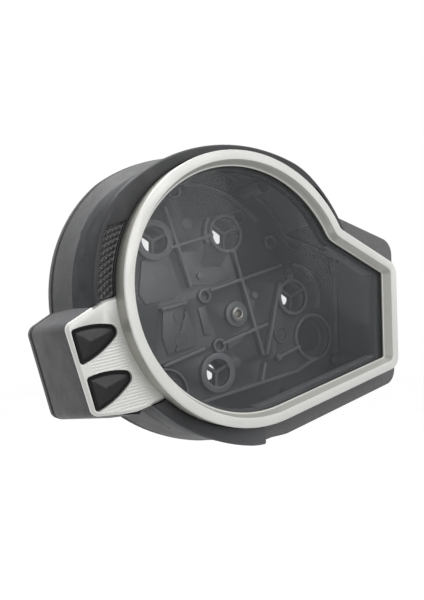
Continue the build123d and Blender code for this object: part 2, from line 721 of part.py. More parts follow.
# Rear case: floor, flange, tongue, sockets, ribs, tubes and the barrels behind them
with BuildPart() as rear_case:
    with BuildSketch(at_depth(FLOOR_BACK)):
        add(seam_outline())
    extrude(amount=FLOOR_THICK)
    with BuildSketch(at_depth(FLANGE_BACK)):
        add(seam_outline())
        add(seam_outline(-WALL), mode=Mode.SUBTRACT)
    extrude(amount=FLANGE_BACK - FLOOR_BACK)
    with BuildSketch(at_depth(FLOOR)):
        add(seam_outline(-WALL - TONGUE_GAP))
        add(seam_outline(-WALL - TONGUE_GAP - RIB_THICK), mode=Mode.SUBTRACT)
        with Locations(*case_posts()):
            Circle(POST_RADIUS + TONGUE_POST_GAP, mode=Mode.SUBTRACT)
    extrude(amount=TONGUE_TALL)
    # ribs and features on the floor, inside
    for start, end in STRAIGHT_RIBS:
        with BuildSketch(at_depth(FLOOR)):
            bar(start, end, RIB_THICK)
        extrude(amount=RIB_TALL)
    for centre, radius, start, sweep in ARC_RIBS:
        with BuildSketch(at_depth(FLOOR)):
            add(arc_bar(centre, radius, start, sweep, RIB_THICK))
        extrude(amount=RIB_TALL)
    with BuildSketch(at_depth(FLOOR)):
        with Locations(*TUBES):
            Circle(TUBE_RADIUS)
    extrude(amount=TUBE_TALL)
    with BuildSketch(at_depth(FLOOR)):
        with Locations(*STUDS):
            Circle(STUD_RADIUS)
    extrude(amount=STUD_TALL)
    with BuildSketch(at_depth(FLOOR)):
        with Locations(*DISCS):
            Circle(DISC_RADIUS)
    extrude(amount=DISC_TALL)
    with BuildSketch(at_depth(FLOOR)):
        with Locations((INSERT_X, INSERT_Z)):
            Circle(HUB_RADIUS)
    extrude(amount=HUB_STEP)
    with BuildSketch(at_depth(FLOOR)):
        with Locations((INSERT_X, INSERT_Z)):
            Circle(HUB_COLLAR)
    extrude(amount=FLOOR - INSERT_FRONT)
    # sockets: rim inside, barrel behind, cup with three spokes and a bore in its floor
    with BuildSketch(at_depth(OVERALL_DEPTH)):
        with Locations(*SOCKETS):
            Circle(SOCKET_RADIUS)
    extrude(amount=OVERALL_DEPTH - FLOOR + SOCKET_RISE)
    for place, cup in zip(SOCKETS, SOCKET_CUPS):
        with BuildSketch(at_depth(SOCKET_FLOOR)):
            with Locations(place):
                Circle(cup)
        extrude(amount=SOCKET_FLOOR - FLOOR + RIB_TALL, mode=Mode.SUBTRACT)
        with BuildSketch(at_depth(SPOKE_BACK)):
            with Locations(place):
                for angle in SPOKE_ANGLES:
                    with Locations(on_circle(cup / 2, angle)):
                        Rectangle(cup + SPOKE_ROOT, SPOKE_WIDTH, rotation=angle)
        extrude(amount=SPOKE_TALL)
    with BuildSketch(at_depth(OVERALL_DEPTH)):
        with Locations(*SOCKETS):
            Circle(SOCKET_BORE)
    extrude(amount=OVERALL_DEPTH - SOCKET_FLOOR, mode=Mode.SUBTRACT)
    # recess for the harness plug
    with BuildSketch(at_depth(PLUG_SEAT)):
        with Locations(RECESS_PLACE):
            Circle(RECESS_RADIUS + RECESS_WALL)
    extrude(amount=PLUG_SEAT - FLOOR + RECESS_WALL)
    with BuildSketch(at_depth(RECESS_FLOOR)):
        with Locations(RECESS_PLACE):
            Circle(RECESS_RADIUS)
    extrude(amount=RECESS_FLOOR - FLOOR + RIB_TALL, mode=Mode.SUBTRACT)
    with BuildSketch(at_depth(PLUG_SEAT)):
        with Locations(RECESS_PLACE):
            Circle(PLUG_HOLE)
    extrude(amount=PLUG_SEAT - RECESS_FLOOR, mode=Mode.SUBTRACT)
    # ribs and bosses behind
    for start, end in BACK_RIBS:
        with BuildSketch(at_depth(BACK_RIB)):
            bar(start, end, RIB_THICK)
            with Locations(*SOCKETS):
                Circle(SOCKET_RADIUS - BACK_RIB_ROOT, mode=Mode.SUBTRACT)
            with Locations(RECESS_PLACE):
                Circle(RECESS_RADIUS + BACK_RIB_ROOT, mode=Mode.SUBTRACT)
        extrude(amount=BACK_RIB - FLOOR_BACK)
    with BuildSketch(at_depth(BACK_RIB)):
        Circle(BACK_RING_RADIUS + RIB_THICK)
        Circle(BACK_RING_RADIUS, mode=Mode.SUBTRACT)
        with Locations(*SOCKETS):
            Circle(SOCKET_RADIUS - BACK_RIB_ROOT, mode=Mode.SUBTRACT)
    extrude(amount=BACK_RIB - FLOOR_BACK)
    with BuildSketch(at_depth(OVERALL_DEPTH)):
        with Locations((INSERT_X, INSERT_Z)):
            Circle(HUB_RADIUS)
    extrude(amount=OVERALL_DEPTH - FLOOR_BACK)
    with BuildSketch(at_depth(OVERALL_DEPTH)):
        with Locations((INSERT_X, INSERT_Z)):
            Circle(INSERT_OUTER)
    extrude(amount=OVERALL_DEPTH - INSERT_FRONT, mode=Mode.SUBTRACT)
    with BuildSketch(at_depth(BREATHER_END)):
        with Locations(BREATHER_PLACE):
            Circle(BREATHER_RADIUS)
    extrude(amount=BREATHER_END - FLOOR_BACK)
    with BuildSketch(at_depth(BREATHER_END)):
        with Locations(BREATHER_PLACE):
            Circle(BREATHER_BORE)
    extrude(amount=BREATHER_END - FLOOR, mode=Mode.SUBTRACT)
    # tube bores, blind from the front
    with BuildSketch(at_depth(FLOOR)):
        with Locations(*TUBES):
            Circle(TUBE_BORE)
    extrude(amount=TUBE_TALL + OVERCUT, mode=Mode.SUBTRACT)
    # clearance holes for the seam screws
    with BuildSketch(at_depth(FLOOR_BACK)):
        with Locations(*case_posts()):
            Circle(SCREW_RADIUS + SCREW_PLAY)
    extrude(amount=FLOOR_THICK, mode=Mode.SUBTRACT)
rear_case.part.label = "rear_case"

with BuildPart() as case_gasket:
    with BuildSketch(at_depth(FLOOR)):
        add(seam_outline(-GASKET_OUTER_INSET))
        add(seam_outline(-GASKET_INNER_INSET), mode=Mode.SUBTRACT)
    extrude(amount=GASKET_THICK)
case_gasket.part.label = "case_gasket"

# Stay insert: threaded brass sleeve with a collar inside the hub
with BuildPart() as stay_insert:
    with BuildSketch(at_depth(OVERALL_DEPTH)):
        with Locations((INSERT_X, INSERT_Z)):
            Circle(INSERT_OUTER)
            Circle(INSERT_HOLE, mode=Mode.SUBTRACT)
    extrude(amount=OVERALL_DEPTH - INSERT_FRONT)
stay_insert.part.label = "stay_insert"

# Harness plug: rubber blank with a head behind and a lip inside
with BuildPart() as harness_plug:
    for front, back, radius in PLUG_STEPS:
        with BuildSketch(at_depth(back)):
            with Locations(RECESS_PLACE):
                Circle(radius)
        extrude(amount=back - front)
harness_plug.part.label = "harness_plug"

with BuildPart() as breather_cap:
    with BuildSketch(at_depth(BREATHER_END + CAP_TOP)):
        with Locations(BREATHER_PLACE):
            Circle(BREATHER_RADIUS + CAP_WALL)
    extrude(amount=BREATHER_END + CAP_TOP - FLOOR_BACK - CAP_GAP)
    with BuildSketch(at_depth(BREATHER_END)):
        with Locations(BREATHER_PLACE):
            Circle(BREATHER_RADIUS)
    extrude(amount=BREATHER_END - FLOOR_BACK - CAP_GAP, mode=Mode.SUBTRACT)
breather_cap.part.label = "breather_cap"

# Seam screws: pan heads behind the flange, shanks in the posts
with BuildPart() as case_screws:
    with BuildSketch(at_depth(FLOOR_BACK)):
        with Locations(*case_posts()):
            Circle(SCREW_RADIUS)
    extrude(amount=SCREW_GRIP + FLOOR_THICK)
    with BuildSketch(at_depth(FLOOR_BACK + SCREW_HEAD_TALL)):
        with Locations(*case_posts()):
            Circle(SCREW_HEAD_RADIUS)
    extrude(amount=SCREW_HEAD_TALL)
    with BuildSketch(at_depth(FLOOR_BACK + SCREW_HEAD_TALL)):
        with Locations(*case_posts()):
            Rectangle(CROSS_LONG, CROSS_WIDE, rotation=CROSS_TURN)
            Rectangle(CROSS_WIDE, CROSS_LONG, rotation=CROSS_TURN)
    extrude(amount=SCREW_HEAD_TALL / 2, mode=Mode.SUBTRACT)
case_screws.part.label = "case_screws"

# Button guide: plate behind the arm that carries both stems
with BuildPart() as button_guide:
    with BuildSketch(at_depth(GUIDE_FRONT + GUIDE_THICK)):
        add(guide_outline())
    extrude(amount=GUIDE_THICK)
button_guide.part.label = "button_guide"

with BuildPart() as guide_screws:
    with BuildSketch(at_depth(GUIDE_FRONT + GUIDE_THICK)):
        with Locations(*GUIDE_SCREWS):
            Circle(GUIDE_SCREW_RADIUS)
    extrude(amount=GUIDE_THICK + GUIDE_SCREW_GRIP)
    with BuildSketch(at_depth(GUIDE_FRONT + GUIDE_THICK + GUIDE_HEAD_TALL)):
        with Locations(*GUIDE_SCREWS):
            Circle(GUIDE_HEAD_RADIUS)
    extrude(amount=GUIDE_HEAD_TALL)
guide_screws.part.label = "guide_screws"

# Buttons and their boots, the lower pair a step below the upper
buttons = []
boots = []
for name, step in (("upper", (0, 0)), ("lower", BUTTON_STEP)):
    stem = (STEM_PLACE[0] + step[0], STEM_PLACE[1] + step[1])
    with BuildPart() as button:
        with BuildSketch(at_depth(FLANGE_FRONT)):
            with Locations(step):
                add(button_outline(-BUTTON_GAP))
        extrude(amount=FLANGE_FRONT - BUTTON_EDGE)
        with BuildSketch(at_depth(BUTTON_EDGE)):
            with Locations(step):
                add(button_outline(-BUTTON_GAP))
        extrude(amount=BUTTON_EDGE - BUTTON_TOP, taper=BUTTON_TAPER)
        with BuildSketch(at_depth(FLANGE_FRONT + FLANGE_THICK)):
            with Locations(step):
                add(button_outline(BUTTON_POCKET - BUTTON_PLAY))
            add(arm_outline(ARM_AT_PLATE, -POCKET_WALL - PLATE_GAP), mode=Mode.INTERSECT)
        extrude(amount=FLANGE_THICK)
        with BuildSketch(at_depth(STEM_END)):
            with Locations(stem):
                Circle(STEM_RADIUS)
        extrude(amount=STEM_END - FLANGE_FRONT - FLANGE_THICK)
    button.part.label = f"{name}_button"
    buttons.append(button)
    with BuildPart() as boot:
        with BuildSketch(at_depth(GUIDE_FRONT)):
            with Locations(stem):
                Circle(BOOT_FOOT)
        with BuildSketch(at_depth(FLANGE_FRONT + FLANGE_THICK + BOOT_GAP)):
            with Locations(stem):
                Circle(BOOT_TOP)
        loft()
        with BuildSketch(at_depth(GUIDE_FRONT)):
            with Locations(stem):
                Circle(STEM_HOLE + BOOT_PLAY)
        extrude(amount=GUIDE_FRONT - FLANGE_FRONT - FLANGE_THICK, mode=Mode.SUBTRACT)
    boot.part.label = f"{name}_button_boot"
    boots.append(boot)

single_pieces = (
    bezel,
    lens,
    lens_gasket,
    front_case,
    rear_case,
    case_gasket,
    stay_insert,
    harness_plug,
    breather_cap,
    case_screws,
    button_guide,
    guide_screws,
)
os.makedirs("parts", exist_ok=True)
for piece in (*single_pieces, *panels, *buttons, *boots):
    export_step(piece.part, f"parts/{piece.part.label}.step")
    print(piece.part.label, len(piece.part.solids()), round(piece.part.volume))
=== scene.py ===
"""Looks of the instrument cluster housing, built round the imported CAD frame. Metres."""
from math import atan2, cos, degrees, hypot, pi, radians, sin

import bmesh
import bpy
from mathutils import Matrix, Vector
from mathutils.geometry import delaunay_2d_cdt


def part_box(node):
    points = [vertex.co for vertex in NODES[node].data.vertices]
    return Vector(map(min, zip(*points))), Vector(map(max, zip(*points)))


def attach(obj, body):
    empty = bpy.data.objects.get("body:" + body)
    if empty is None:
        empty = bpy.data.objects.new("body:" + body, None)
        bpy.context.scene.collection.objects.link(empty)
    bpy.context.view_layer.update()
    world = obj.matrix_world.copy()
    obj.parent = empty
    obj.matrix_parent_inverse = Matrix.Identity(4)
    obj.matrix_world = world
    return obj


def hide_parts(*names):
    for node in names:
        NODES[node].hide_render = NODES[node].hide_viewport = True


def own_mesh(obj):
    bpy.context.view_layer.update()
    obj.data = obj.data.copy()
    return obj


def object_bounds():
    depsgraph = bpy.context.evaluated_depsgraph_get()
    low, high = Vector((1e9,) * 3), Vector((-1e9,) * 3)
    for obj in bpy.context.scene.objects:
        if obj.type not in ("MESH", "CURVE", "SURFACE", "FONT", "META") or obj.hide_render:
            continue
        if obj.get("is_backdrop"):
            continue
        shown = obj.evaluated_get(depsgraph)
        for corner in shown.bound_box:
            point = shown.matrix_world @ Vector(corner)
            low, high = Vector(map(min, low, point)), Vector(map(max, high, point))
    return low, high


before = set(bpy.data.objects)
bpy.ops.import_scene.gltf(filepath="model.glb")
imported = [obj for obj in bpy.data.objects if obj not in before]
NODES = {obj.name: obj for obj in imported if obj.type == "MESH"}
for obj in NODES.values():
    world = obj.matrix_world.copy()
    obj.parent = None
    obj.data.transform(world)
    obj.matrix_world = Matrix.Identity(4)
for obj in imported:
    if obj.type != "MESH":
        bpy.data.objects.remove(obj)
cad_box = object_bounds()
MM = 0.001

# Places worked out from the frame: the window's centre and the depth of the rim's face
BEZEL_LOW, BEZEL_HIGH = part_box("bezel")
RIM_RADIUS = 65.0
WING_RIGHT = 96.0
CENTRE_X = BEZEL_HIGH.x / MM - WING_RIGHT
CENTRE_Z = BEZEL_HIGH.z / MM - RIM_RADIUS
FACE_Y = BEZEL_LOW.y / MM

# Depths behind the rim's face, in millimetres
PLATE_FRONT = 10.0
SHOULDER = 9.0
PANEL_FRONT = 9.6
BUTTON_TOP = 10.3
CREASE = 35.0
SEAM = 57.6
FLOOR = 58.6
RIB_TOP = 54.6
OVERALL_DEPTH = 68.0


def place(x, y, depth):
    """Point in metres from millimetres right of and above the window's centre, and behind the rim's face."""
    return Vector(((CENTRE_X + x) * MM, (FACE_Y + depth) * MM, (CENTRE_Z + y) * MM))


def flat(point):
    """The same, backwards: x, y and depth in millimetres of a point in metres."""
    return (point.x / MM - CENTRE_X, point.z / MM - CENTRE_Z, point.y / MM - FACE_Y)


# ---------------------------------------------------------------- materials

# Depths that Shader.depth() tells apart, in millimetres
DEPTH_RANGE = 80.0
# Painted shadow in front of the seam: its tint, and how far it fades out as a part of that range
SEAM_SHADOW_TINT = (0.06, 0.06, 0.06)
SEAM_SHADOW_FADE = 0.010
# Paler colour on the drum's underside: where it begins and is complete, across and below the window's centre
UNDERSIDE_PALE_ACROSS = (-32.0, 10.0)
UNDERSIDE_PALE_BELOW = (-60.0, -45.0)
UNDERSIDE_PALE_TINT = (2.5, 2.5, 2.5)
WHITE = (1.0, 1.0, 1.0)


class Shader:
    """A node material under construction, with the chains that all of them share."""

    def __init__(self, name, colour, roughness, metallic=0.0, specular=0.5):
        self.material = bpy.data.materials.new(name)
        self.material.use_nodes = True
        self.nodes = self.material.node_tree.nodes
        self.links = self.material.node_tree.links
        self.bsdf = self.nodes["Principled BSDF"]
        self.bsdf.inputs["Base Color"].default_value = (*colour, 1.0)
        self.bsdf.inputs["Roughness"].default_value = roughness
        self.bsdf.inputs["Metallic"].default_value = metallic
        self.bsdf.inputs["Specular IOR Level"].default_value = specular
        self.coords = self.nodes.new("ShaderNodeTexCoord").outputs["Object"]
        self.normal = None

    def noise(self, scale, detail=2.0, rough=0.5, stretch=None):
        """Noise over the object's own coordinates, with stretch squeezing it along an axis."""
        source = self.coords
        if stretch:
            mapping = self.nodes.new("ShaderNodeMapping")
            mapping.inputs["Scale"].default_value = stretch
            self.links.new(source, mapping.inputs["Vector"])
            source = mapping.outputs["Vector"]
        texture = self.nodes.new("ShaderNodeTexNoise")
        texture.inputs["Scale"].default_value = scale
        texture.inputs["Detail"].default_value = detail
        texture.inputs["Roughness"].default_value = rough
        self.links.new(source, texture.inputs["Vector"])
        return texture.outputs["Fac"]

    def ramp(self, source, stops):
        """Colour ramp: stops are (position, colour)."""
        ramp = self.nodes.new("ShaderNodeValToRGB")
        elements = ramp.color_ramp.elements
        while len(elements) < len(stops):
            elements.new(0.5)
        for element, (position, colour) in zip(elements, stops):
            element.position = position
            element.color = (*colour, 1.0)
        self.links.new(source, ramp.inputs["Fac"])
        return ramp.outputs["Color"]

    def grade(self, source, low, high, start=0.3, end=0.7):
        """Number that runs from low to high as source runs from start to end."""
        grade = self.nodes.new("ShaderNodeMapRange")
        for name, value in zip(("From Min", "From Max", "To Min", "To Max"), (start, end, low, high)):
            grade.inputs[name].default_value = value
        self.links.new(source, grade.inputs["Value"])
        return grade.outputs["Result"]

    def depth(self):
        """Distance behind the rim's face, in millimetres."""
        split = self.nodes.new("ShaderNodeSeparateXYZ")
        self.links.new(self.coords, split.inputs["Vector"])
        return self.grade(split.outputs["Y"], 0.0, DEPTH_RANGE, FACE_Y * MM, (FACE_Y + DEPTH_RANGE) * MM)

    def underside(self):
        """Rises from 0 to 1 along the drum's underside, towards the wing."""
        split = self.nodes.new("ShaderNodeSeparateXYZ")
        self.links.new(self.coords, split.inputs["Vector"])
        across = self.grade(split.outputs["X"], 0.0, 1.0, *((CENTRE_X + x) * MM for x in UNDERSIDE_PALE_ACROSS))
        below = self.grade(split.outputs["Z"], 1.0, 0.0, *((CENTRE_Z + z) * MM for z in UNDERSIDE_PALE_BELOW))
        product = self.nodes.new("ShaderNodeMath")
        product.operation = "MULTIPLY"
        self.links.new(across, product.inputs[0])
        self.links.new(below, product.inputs[1])
        return product.outputs[0]

    def mixed(self, first, second):
        """Two colours multiplied."""
        mix = self.nodes.new("ShaderNodeMix")
        mix.data_type = "RGBA"
        mix.blend_type = "MULTIPLY"
        mix.inputs[0].default_value = 1.0
        self.links.new(first, mix.inputs[6])
        self.links.new(second, mix.inputs[7])
        return mix.outputs[2]

    def colour_from(self, output):
        """Colour from a socket."""
        self.links.new(output, self.bsdf.inputs["Base Color"])

    def roughness_from(self, output):
        """Roughness from a socket."""
        self.links.new(output, self.bsdf.inputs["Roughness"])

    def bump(self, height, distance, strength=1.0):
        """Adds a bump on top of those already there."""
        bump = self.nodes.new("ShaderNodeBump")
        bump.inputs["Strength"].default_value = strength
        bump.inputs["Distance"].default_value = distance
        self.links.new(height, bump.inputs["Height"])
        if self.normal:
            self.links.new(self.normal, bump.inputs["Normal"])
        self.normal = bump.outputs["Normal"]
        self.links.new(self.normal, self.bsdf.inputs["Normal"])


def shade(colour, factor):
    """Colour made lighter or darker, at most white."""
    return tuple(min(channel * factor, 1.0) for channel in colour)


def grained_plastic(
    name, colour, roughness, grain, depth, contrast=0.12, specular=0.4, speckled=0.14, seam_shadow_depths=None, pale_underside=False
):
    """Moulded plastic with spark-eroded grain and faint flow marks. An optional pair of depths paints a band
    of shadow between them, where the gap at the seam lies, and the other option makes the drum's underside
    paler towards the wing."""
    s = Shader(name, colour, roughness, specular=specular)
    flow = [(0.3, shade(colour, 1 - contrast)), (0.7, shade(colour, 1 + contrast))]
    broad = s.ramp(s.noise(35.0, 4.0, 0.55), flow)
    speckle = s.ramp(s.noise(grain, 2.0), [(0.35, shade(WHITE, 1 - speckled)), (0.65, WHITE)])
    plain = s.mixed(broad, speckle)
    if seam_shadow_depths:
        start, end = (part / DEPTH_RANGE for part in seam_shadow_depths)
        # Painted shadow: a near-black band in front of the seam, where its gap lies
        seam_shadow_band = s.ramp(s.grade(s.depth(), 0.0, 1.0, 0.0, DEPTH_RANGE), [
            (start - SEAM_SHADOW_FADE, WHITE),
            (start, SEAM_SHADOW_TINT),
            (end, SEAM_SHADOW_TINT),
            (end + SEAM_SHADOW_FADE / 4, WHITE),
        ])
        plain = s.mixed(plain, seam_shadow_band)
    if pale_underside:
        plain = s.mixed(plain, s.ramp(s.underside(), [(0.0, WHITE), (1.0, UNDERSIDE_PALE_TINT)]))
    s.colour_from(plain)
    s.roughness_from(s.grade(s.noise(120.0, 3.0), roughness - 0.06, roughness + 0.08))
    s.bump(s.noise(grain, 3.0, 0.6), depth)
    return s.material


def floor_plastic(name):
    """Plastic inside the case, with painted light and shade by depth: dark on the floor, where shade falls,
    and paler on the tops of ribs and rims, as painted light.
    """
    s = Shader(name, INSIDE_GREY, 0.36, specular=0.5)
    by_depth = s.grade(s.depth(), 0.0, 1.0, RIB_TOP - 2.0, OVERALL_DEPTH)
    # Painted light and shade by depth: brightest at the rib tops, darkest on the deepest floor
    painted_depth_shade = s.ramp(by_depth, [
        (0.00, shade(INSIDE_GREY, 3.6)),
        (0.16, shade(INSIDE_GREY, 3.2)),
        (0.27, shade(INSIDE_GREY, 2.4)),
        (0.345, shade(INSIDE_GREY, 2.0)),
        (0.380, shade(INSIDE_GREY, 1.0)),
        (0.70, shade(INSIDE_GREY, 0.35)),
    ])
    patches = s.ramp(s.noise(45.0, 3.0), [(0.3, (0.82, 0.82, 0.82)), (0.7, WHITE)])
    s.colour_from(s.mixed(painted_depth_shade, patches))
    s.roughness_from(s.grade(s.noise(150.0, 3.0), 0.30, 0.44))
    s.bump(s.noise(90.0, 2.0), 0.00002, 0.3)
    return s.material


def silver_paint(name, colour, streak=0.0):
    """Warm silver paint on plastic: fine flake, a soft clear coat and slight orange peel."""
    s = Shader(name, colour, 0.40, metallic=0.2, specular=0.5)
    flake = s.noise(2600.0, 2.0, 0.7)
    s.colour_from(s.ramp(flake, [(0.3, shade(colour, 0.94)), (0.7, shade(colour, 1.06))]))
    s.roughness_from(s.grade(s.noise(90.0, 3.0), 0.34, 0.46))
    s.bump(s.noise(700.0, 2.0), 0.00003, 0.5)
    if streak:
        s.bump(s.noise(60.0, 2.0, 0.5, stretch=(14.0, 0.6, 14.0)), 0.00004, streak)
    s.bsdf.inputs["Coat Weight"].default_value = 0.25
    s.bsdf.inputs["Coat Roughness"].default_value = 0.22
    return s.material


def soft_rubber(name, colour, roughness=0.7):
    """Matt rubber or foam with a fine tooth."""
    s = Shader(name, colour, roughness, specular=0.3)
    s.colour_from(s.ramp(s.noise(60.0, 4.0), [(0.3, shade(colour, 0.8)), (0.7, shade(colour, 1.35))]))
    s.bump(s.noise(2200.0, 3.0), 0.00004)
    return s.material


def metal(name, colour, roughness):
    """Bare or plated metal, a little tarnished."""
    s = Shader(name, colour, roughness, metallic=1.0)
    s.colour_from(s.ramp(s.noise(150.0, 4.0), [(0.3, shade(colour, 0.85)), (0.7, shade(colour, 1.1))]))
    s.roughness_from(s.grade(s.noise(400.0, 3.0), roughness - 0.08, roughness + 0.12))
    s.bump(s.noise(1800.0, 2.0), 0.00002)
    return s.material


def clear_lens(name):
    """Slightly smoky polycarbonate with a thin film of dust and a few specks."""
    s = Shader(name, LENS_FILM, 0.10, specular=0.6)
    s.bsdf.inputs["IOR"].default_value = 1.58
    specks = s.grade(s.noise(520.0, 1.0, 0.4), 0.0, 0.5, 0.80, 0.83)
    haze = s.grade(s.noise(24.0, 4.0), LENS_ALPHA - 0.02, LENS_ALPHA + 0.02)
    both = s.nodes.new("ShaderNodeMath")
    both.operation = "ADD"
    both.use_clamp = True
    s.links.new(specks, both.inputs[0])
    s.links.new(haze, both.inputs[1])
    s.links.new(both.outputs[0], s.bsdf.inputs["Alpha"])
    s.roughness_from(s.grade(s.noise(200.0, 3.0), 0.06, 0.12))
    return s.material


LENS_ALPHA = 0.13
LENS_FILM = (0.20, 0.21, 0.22)
SILVER = (0.71, 0.71, 0.685)
# Darker copies of the silver for the rim's inner and outer walls: painted shade
SILVER_WALL_SHADE = (0.66, 0.66, 0.615)
SILVER_SIDE_SHADE = (0.40, 0.40, 0.355)
CASE_GREY = (0.086, 0.087, 0.090)
# Grey of the drum's shoulder: the wall's plastic painted lighter, as painted light on its forward faces
SHOULDER_LIT_GREY = (0.042, 0.043, 0.046)
# Near black for the seam's groove: painted shadow
SEAM_SHADOW_GREY = (0.006, 0.006, 0.006)
# Grey of the wing's forward faces: the skirt's plastic painted lighter, as painted light
WING_LIT_GREY = (0.160, 0.161, 0.165)
# Grey of the drum's wall: a smoother finish, and darker partly as painted shade on a wall turned from the
# light
WALL_GREY = (0.017, 0.019, 0.022)
INSIDE_GREY = (0.060, 0.064, 0.068)

# Width of the band of painted shadow in front of the seam, in millimetres
SEAM_SHADOW_WIDTH = 1.6
COARSE = 0.00012
FINE = 0.00003

case_grain = grained_plastic(
    "case_grain", CASE_GREY, 0.60, 1500.0, COARSE, 0.03, 0.22, 0.26, seam_shadow_depths=(SEAM - SEAM_SHADOW_WIDTH, SEAM)
)
case_shoulder_lit = grained_plastic("case_shoulder_lit", SHOULDER_LIT_GREY, 0.50, 1900.0, FINE, 0.05, 0.35, pale_underside=True)
case_wing_lit = grained_plastic("case_wing_lit", WING_LIT_GREY, 0.60, 1500.0, COARSE, 0.03, 0.22, 0.26)
# Near-black plastic for the seam's groove: painted shadow in the gap between the cases
seam_shadow_paint = grained_plastic("seam_shadow_paint", SEAM_SHADOW_GREY, 0.9, 1900.0, FINE, 0.3, 0.05)
case_wall = grained_plastic("case_wall", WALL_GREY, 0.52, 1900.0, FINE, 0.05, 0.14, pale_underside=True)
inside_plastic = floor_plastic("inside_plastic")
button_plastic = grained_plastic("button_plastic", (0.018, 0.018, 0.019), 0.42, 1800.0, FINE, 0.10)
knurl_plastic = grained_plastic("knurl_plastic", (0.026, 0.026, 0.028), 0.28, 1800.0, 0.00002, 0.10, 0.7)
silver = silver_paint("silver_paint", SILVER)
silver_wall_shaded = silver_paint("silver_paint_wall_shaded", SILVER_WALL_SHADE, streak=0.5)
silver_side_shaded = silver_paint("silver_paint_side_shaded", SILVER_SIDE_SHADE)
rubber_black = soft_rubber("rubber_black", (0.012, 0.012, 0.012))
foam_black = soft_rubber("foam_black", (0.010, 0.010, 0.010), 0.95)
zinc_steel = metal("zinc_steel", (0.55, 0.55, 0.56), 0.32)
turned_brass = metal("turned_brass", (0.50, 0.49, 0.46), 0.24)
lens_clear = clear_lens("lens_clear")


# ---------------------------------------------------------------- mesh helpers

def new_piece(name, mesh, materials, body, slot, *replaced):
    """Object from a mesh, with its materials, body and the CAD nodes it stands for. The slot argument is not
    used.
    """
    piece = bpy.data.objects.new(name, mesh)
    bpy.context.scene.collection.objects.link(piece)
    for material in materials:
        mesh.materials.append(material)
    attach(piece, body)
    if replaced:
        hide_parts(*replaced)
    return piece


def smooth(mesh, angle=32.0):
    """Smooth shading that keeps edges sharper than the angle."""
    mesh.shade_smooth()
    mesh.set_sharp_from_angle(angle=radians(angle))


def clean_copy(node):
    """bmesh of a CAD node with flat areas joined into single faces."""
    bm = bmesh.new()
    bm.from_mesh(NODES[node].data)
    bmesh.ops.remove_doubles(bm, verts=bm.verts, dist=1e-6)
    bmesh.ops.dissolve_limit(bm, angle_limit=radians(0.4), verts=bm.verts, edges=bm.edges)
    return bm


def bevelled(piece, width, segments=2, angle=35.0):
    """Rounds a piece's sharp edges and applies the result."""
    bevel = piece.modifiers.new("edge_rounding", "BEVEL")
    bevel.width = width * MM
    bevel.segments = segments
    bevel.limit_method = "ANGLE"
    bevel.angle_limit = radians(angle)
    bevel.use_clamp_overlap = True
    depsgraph = bpy.context.evaluated_depsgraph_get()
    done = bpy.data.meshes.new_from_object(piece.evaluated_get(depsgraph))
    piece.modifiers.clear()
    piece.data = done
    smooth(done)


def refined(node, material, slot, body="housing", width=0.3):
    """A CAD node's shape again, with rounded edges."""
    bm = clean_copy(node)
    mesh = bpy.data.meshes.new(node + "_fine")
    bm.to_mesh(mesh)
    bm.free()
    materials = material if isinstance(material, list) else [material]
    piece = new_piece(node + "_fine", mesh, materials, body, slot, node)
    bevelled(piece, width)
    return piece


def paint(piece, choose):
    """Gives each face the material number that choose(x, y, depth, normal) returns for its middle."""
    for face in piece.data.polygons:
        face.material_index = choose(*flat(face.center), face.normal)


def gap_to(borders, x, y):
    """Distance from a point to the nearest of the border lines, and whether the point is inside them."""
    nearest = 1e9
    inside = False
    for (ax, ay), (bx, by) in borders:
        run = (bx - ax, by - ay)
        size = run[0] ** 2 + run[1] ** 2
        part = 0.0 if size == 0 else ((x - ax) * run[0] + (y - ay) * run[1]) / size
        part = min(1.0, max(0.0, part))
        nearest = min(nearest, hypot(x - ax - part * run[0], y - ay - part * run[1]))
        if (ay > y) != (by > y) and x < ax + (y - ay) / (by - ay) * run[0]:
            inside = not inside
    return nearest, inside


def net_over(piece, depth, within, points, height, margin=0.12):
    """Cuts a flat area at a depth into a fine net. points(low, high) gives the net's places and
    height(x, y, gap) the depth to add at each, gap being the distance to the area's border."""
    bm = bmesh.new()
    bm.from_mesh(piece.data)
    faces = [
        face for face in bm.faces
        if face.normal.y < -0.999
        and all(abs(flat(v.co)[2] - depth) < 0.004 for v in face.verts)
        and within(*flat(face.calc_center_median())[:2])
    ]
    uses = {}
    for face in faces:
        for edge in face.edges:
            uses[edge] = uses.get(edge, 0) + 1
    border = [edge for edge, count in uses.items() if count == 1]
    corners = list({v: None for edge in border for v in edge.verts})
    number = {v: i for i, v in enumerate(corners)}
    spots = [flat(v.co)[:2] for v in corners]
    lines = [tuple(spots[number[v]] for v in edge.verts) for edge in border]
    low = [min(p[k] for p in spots) for k in (0, 1)]
    high = [max(p[k] for p in spots) for k in (0, 1)]
    gaps = []
    for x, y in points(low, high):
        gap, inside = gap_to(lines, x, y)
        if inside and gap > margin:
            spots.append((x, y))
            gaps.append(gap)
    ends = [tuple(number[v] for v in edge.verts) for edge in border]
    made = delaunay_2d_cdt([Vector(p) for p in spots], ends, [], 0, 1e-5)
    verts = []
    for where, origin in zip(made[0], made[3]):
        first = min(origin) if origin else None
        if first is not None and first < len(corners):
            verts.append(corners[first])
        else:
            gap = gaps[first - len(corners)] if first is not None else 0.0
            added = height(where.x, where.y, gap)
            verts.append(bm.verts.new(place(where.x, where.y, depth + added)))
    material = faces[0].material_index
    bmesh.ops.delete(bm, geom=faces, context="FACES_KEEP_BOUNDARY")
    for triangle in made[2]:
        middle = sum((made[0][i] for i in triangle), Vector((0, 0))) / 3
        if not gap_to(lines, middle.x, middle.y)[1]:
            continue
        try:
            face = bm.faces.new([verts[i] for i in triangle])
        except ValueError:
            continue
        face.normal_update()
        if face.normal.y > 0:
            face.normal_flip()
        face.material_index = material
    bm.to_mesh(piece.data)
    bm.free()
    smooth(piece.data, 50.0)


